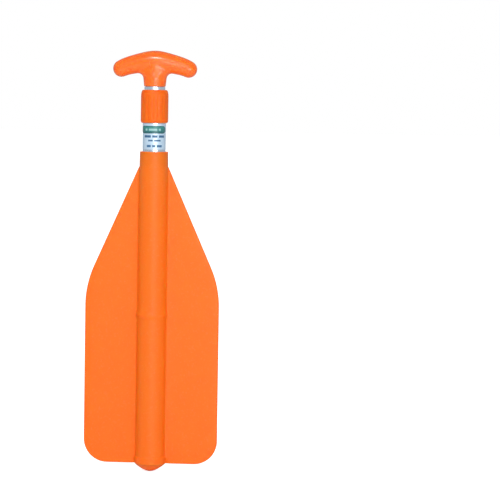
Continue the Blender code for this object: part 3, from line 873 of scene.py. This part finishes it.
def grip_mass():
    """Bar and neck as overlapping closed shapes, for the voxel remesh to fuse."""
    bm = bmesh.new()
    stations = 48
    rings = bar_cap(bm, -1)
    for step in range(stations + 1):
        rings.append(bar_ring(bm, *bar_station(BAR_END * (2 * step / stations - 1))))
    rings.extend(reversed(bar_cap(bm, 1)))
    skin(bm, rings)

    below_seat = GRIP_SEAT - 6 * MM
    sections = [(below_seat, GRIP_NECK_LOW, GRIP_NECK_LOW), (GRIP_SEAT, GRIP_NECK_LOW, GRIP_NECK_LOW)]
    steps = 12
    for step in range(steps + 1):
        angle = math.pi / 2 * step / steps
        wide = GRIP_NECK_HIGH + FLARE * (1 - math.cos(angle))
        deep = GRIP_NECK_HIGH + (BAR_DEPTH - GRIP_NECK_HIGH) * step / steps
        sections.append((FLARE_BASE + FLARE * math.sin(angle), wide, deep))
    sections.append((GRIP_HIGH.z - BAR_THICK, GRIP_NECK_HIGH, BAR_DEPTH * 0.92))
    rings = []
    for height, wide, deep in sections:
        ring = []
        for side in range(GRIP_SIDES):
            angle = TAU * side / GRIP_SIDES
            ring.append(bm.verts.new((wide * math.cos(angle), deep * math.sin(angle), height)))
        rings.append(ring)
    skin(bm, rings)
    bm.faces.new(rings[0])
    bm.faces.new(rings[-1])
    return finish_mesh("grip_moulding", bm)


def fuse_grip(grip):
    """Voxel remesh, then smooth: a little all over and more where neck and bar meet."""
    remesh = grip.modifiers.new("fuse", "REMESH")
    remesh.mode = "VOXEL"
    remesh.voxel_size = GRIP_VOXEL
    with_modifiers_applied(grip)
    group = grip.vertex_groups.new(name="junction")
    for vertex in grip.data.vertices:
        across = smooth_step((27 * MM - abs(vertex.co.x)) / (8 * MM))
        rise = smooth_step((vertex.co.z - FLARE_BASE) / (6 * MM))
        crown = smooth_step((GRIP_HIGH.z - 5 * MM - vertex.co.z) / (8 * MM))
        group.add([vertex.index], across * rise * crown, "REPLACE")
    blend = grip.modifiers.new("blend", "SMOOTH")
    blend.factor = 0.5
    blend.iterations = 50
    blend.vertex_group = "junction"
    even = grip.modifiers.new("even", "SMOOTH")
    even.factor = 0.5
    even.iterations = 12
    with_modifiers_applied(grip)
    grip.vertex_groups.clear()


def seat_grip(grip):
    """Cut the neck flat above its seat, then add the rounded rim and the spigot."""
    bm = bmesh.new()
    bm.from_mesh(grip.data)
    cut = bmesh.ops.bisect_plane(
        bm,
        geom=bm.verts[:] + bm.edges[:] + bm.faces[:],
        plane_co=(0, 0, GRIP_SEAT + GRIP_RIM),
        plane_no=(0, 0, -1),
        clear_outer=True,
    )
    edges = [item for item in cut["geom_cut"] if isinstance(item, bmesh.types.BMEdge)]
    spigot = INNER_HIGH.x - TUBE_WALL - GAP
    levels = []
    rim_steps = 5
    for step in range(1, rim_steps + 1):
        angle = math.pi / 2 * step / rim_steps
        inset = GRIP_RIM * (1 - math.cos(angle))
        levels.append((GRIP_NECK_LOW - inset, GRIP_SEAT + GRIP_RIM * (1 - math.sin(angle))))
    levels.append((spigot, GRIP_SEAT))
    levels.append((spigot, GRIP_LOW.z + 1.0 * MM))
    levels.append((spigot - 1.0 * MM, GRIP_LOW.z))
    for radius, height in levels:
        grown = bmesh.ops.extrude_edge_only(bm, edges=edges)["geom"]
        edges = [item for item in grown if isinstance(item, bmesh.types.BMEdge)]
        for item in grown:
            if isinstance(item, bmesh.types.BMVert):
                angle = math.atan2(item.co.y, item.co.x)
                item.co = (radius * math.cos(angle), radius * math.sin(angle), height)
    bmesh.ops.holes_fill(bm, edges=edges, sides=0)
    bmesh.ops.recalc_face_normals(bm, faces=bm.faces)
    bm.to_mesh(grip.data)
    bm.free()
    grip.data.shade_smooth()
    grip.data.set_sharp_from_angle(angle=SHARP_EDGE)


def build_grip(material):
    grip = grip_mass()
    fuse_grip(grip)
    seat_grip(grip)
    place(grip, "handle", material, "grip_plastic", "t_grip")


# ---------------------------------------------------------------- hidden pieces

def finish_hidden_pieces(steel, nylon):
    """The lock pieces keep their CAD shape; each gets its real material."""
    finishes = {"pin": steel, "stud": steel, "nut": steel, "washer": steel}
    for name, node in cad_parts.items():
        if node.hide_render:
            continue
        material = finishes.get(name.split("_")[-1], nylon)
        node.data.materials.clear()
        node.data.materials.append(material)


# ---------------------------------------------------------------- stage, light, camera

def build_floor():
    bm = bmesh.new()
    bmesh.ops.create_circle(bm, cap_ends=True, radius=30.0, segments=96)
    floor = finish_mesh("studio_floor", bm)
    floor.data.materials.append(studio_floor())


def add_softbox(name, place_at, width, height, power):
    lamp = bpy.data.lights.new(name, "AREA")
    lamp.shape = "RECTANGLE"
    lamp.size = width
    lamp.size_y = height
    lamp.energy = power
    item = bpy.data.objects.new(name, lamp)
    item.location = place_at
    item.rotation_euler = (Vector(MIDDLE) - Vector(place_at)).to_track_quat("-Z", "Y").to_euler()
    bpy.context.scene.collection.objects.link(item)


def light_studio():
    add_softbox("front", (0.80, -2.4, 0.45), width=1.5, height=1.1, power=27.0)
    add_softbox("upper", (-0.15, -1.85, 1.70), width=0.50, height=0.35, power=24.0)
    world = bpy.data.worlds.new("studio")
    world.use_nodes = True
    nodes = world.node_tree.nodes
    sky = nodes["Background"]
    sky.inputs["Color"].default_value = (0.90, 0.95, 1.0, 1.0)
    sky.inputs["Strength"].default_value = SKY
    backdrop = nodes.new("ShaderNodeBackground")
    backdrop.inputs["Color"].default_value = (1.0, 1.0, 1.0, 1.0)
    backdrop.inputs["Strength"].default_value = 1.0
    seen = nodes.new("ShaderNodeLightPath")
    pick = nodes.new("ShaderNodeMixShader")
    links = world.node_tree.links
    links.new(seen.outputs["Is Camera Ray"], pick.inputs["Fac"])
    links.new(sky.outputs["Background"], pick.inputs[1])
    links.new(backdrop.outputs["Background"], pick.inputs[2])
    links.new(pick.outputs["Shader"], nodes["World Output"].inputs["Surface"])
    bpy.context.scene.world = world


def set_camera():
    """Long lens, a little above the middle, with the paddle left of centre and leaning slightly."""
    distance = 3.0
    elevation = math.radians(3.5)
    roll = math.radians(0.9)
    yaw = math.radians(4.5)
    span = 0.608
    target = Vector((0.1190, 0.0, 0.2739))
    data = bpy.data.cameras.new("camera")
    data.sensor_width = 36.0
    data.lens = data.sensor_width * distance / span
    data.clip_end = 60.0
    camera = bpy.data.objects.new("camera", data)
    level = math.cos(elevation)
    back = Vector((level * math.sin(yaw), -level * math.cos(yaw), math.sin(elevation)))
    camera.location = target + back * distance
    aim = (-back).to_track_quat("-Z", "Y").to_matrix().to_4x4()
    camera.rotation_euler = (aim @ Matrix.Rotation(roll, 4, "Z")).to_euler()
    bpy.context.scene.collection.objects.link(camera)
    bpy.context.scene.camera = camera


def build_scene():
    blade_plastic = moulded_plastic(
        "blade_plastic", (0.95, 0.158, 0.005), rough_low=0.40, rough_high=0.50, grain=0.30, shine=0.25
    )
    collar_plastic = moulded_plastic(
        "collar_plastic", (0.95, 0.135, 0.003), rough_low=0.42, rough_high=0.52, grain=0.35, shine=0.20
    )
    grip_plastic = moulded_plastic(
        "grip_plastic", (0.95, 0.148, 0.001), rough_low=0.23, rough_high=0.29, grain=0.15, shine=0.55
    )
    outer_metal = drawn_aluminium("outer_aluminium", (0.80, 0.90, 1.0))
    inner_metal = drawn_aluminium("inner_aluminium", (0.82, 0.91, 1.0))
    build_blade(blade_plastic)
    build_nose(blade_plastic)
    build_neck_bush(collar_plastic)
    build_outer_tube(outer_metal)
    build_inner_tube(inner_metal)
    build_collar(collar_plastic)
    build_wiper(seal_rubber())
    band_ink = printed_ink("band_ink", (0.02, 0.22, 0.19), (0.01, 0.10, 0.11), BAND_LOW, BAND_HIGH)
    rim_ink = printed_ink("rim_ink", (0.0, 0.10, 0.09), (0.0, 0.05, 0.06), BAND_LOW, BAND_HIGH)
    mark_ink = printed_ink("mark_ink", (0.30, 0.55, 0.52), (0.22, 0.45, 0.44), BAND_LOW, BAND_HIGH)
    dash_ink = printed_ink("dash_ink", (0.02, 0.09, 0.20), (0.04, 0.14, 0.28), LABEL_LOW.z, BAND_LOW)
    build_label(label_film(), band_ink, rim_ink, dash_ink, mark_ink)
    build_grip(grip_plastic)
    finish_hidden_pieces(turned_steel(), natural_nylon())
    build_floor()
    light_studio()
    set_camera()
    bpy.context.scene.view_settings.view_transform = "Standard"


build_scene()
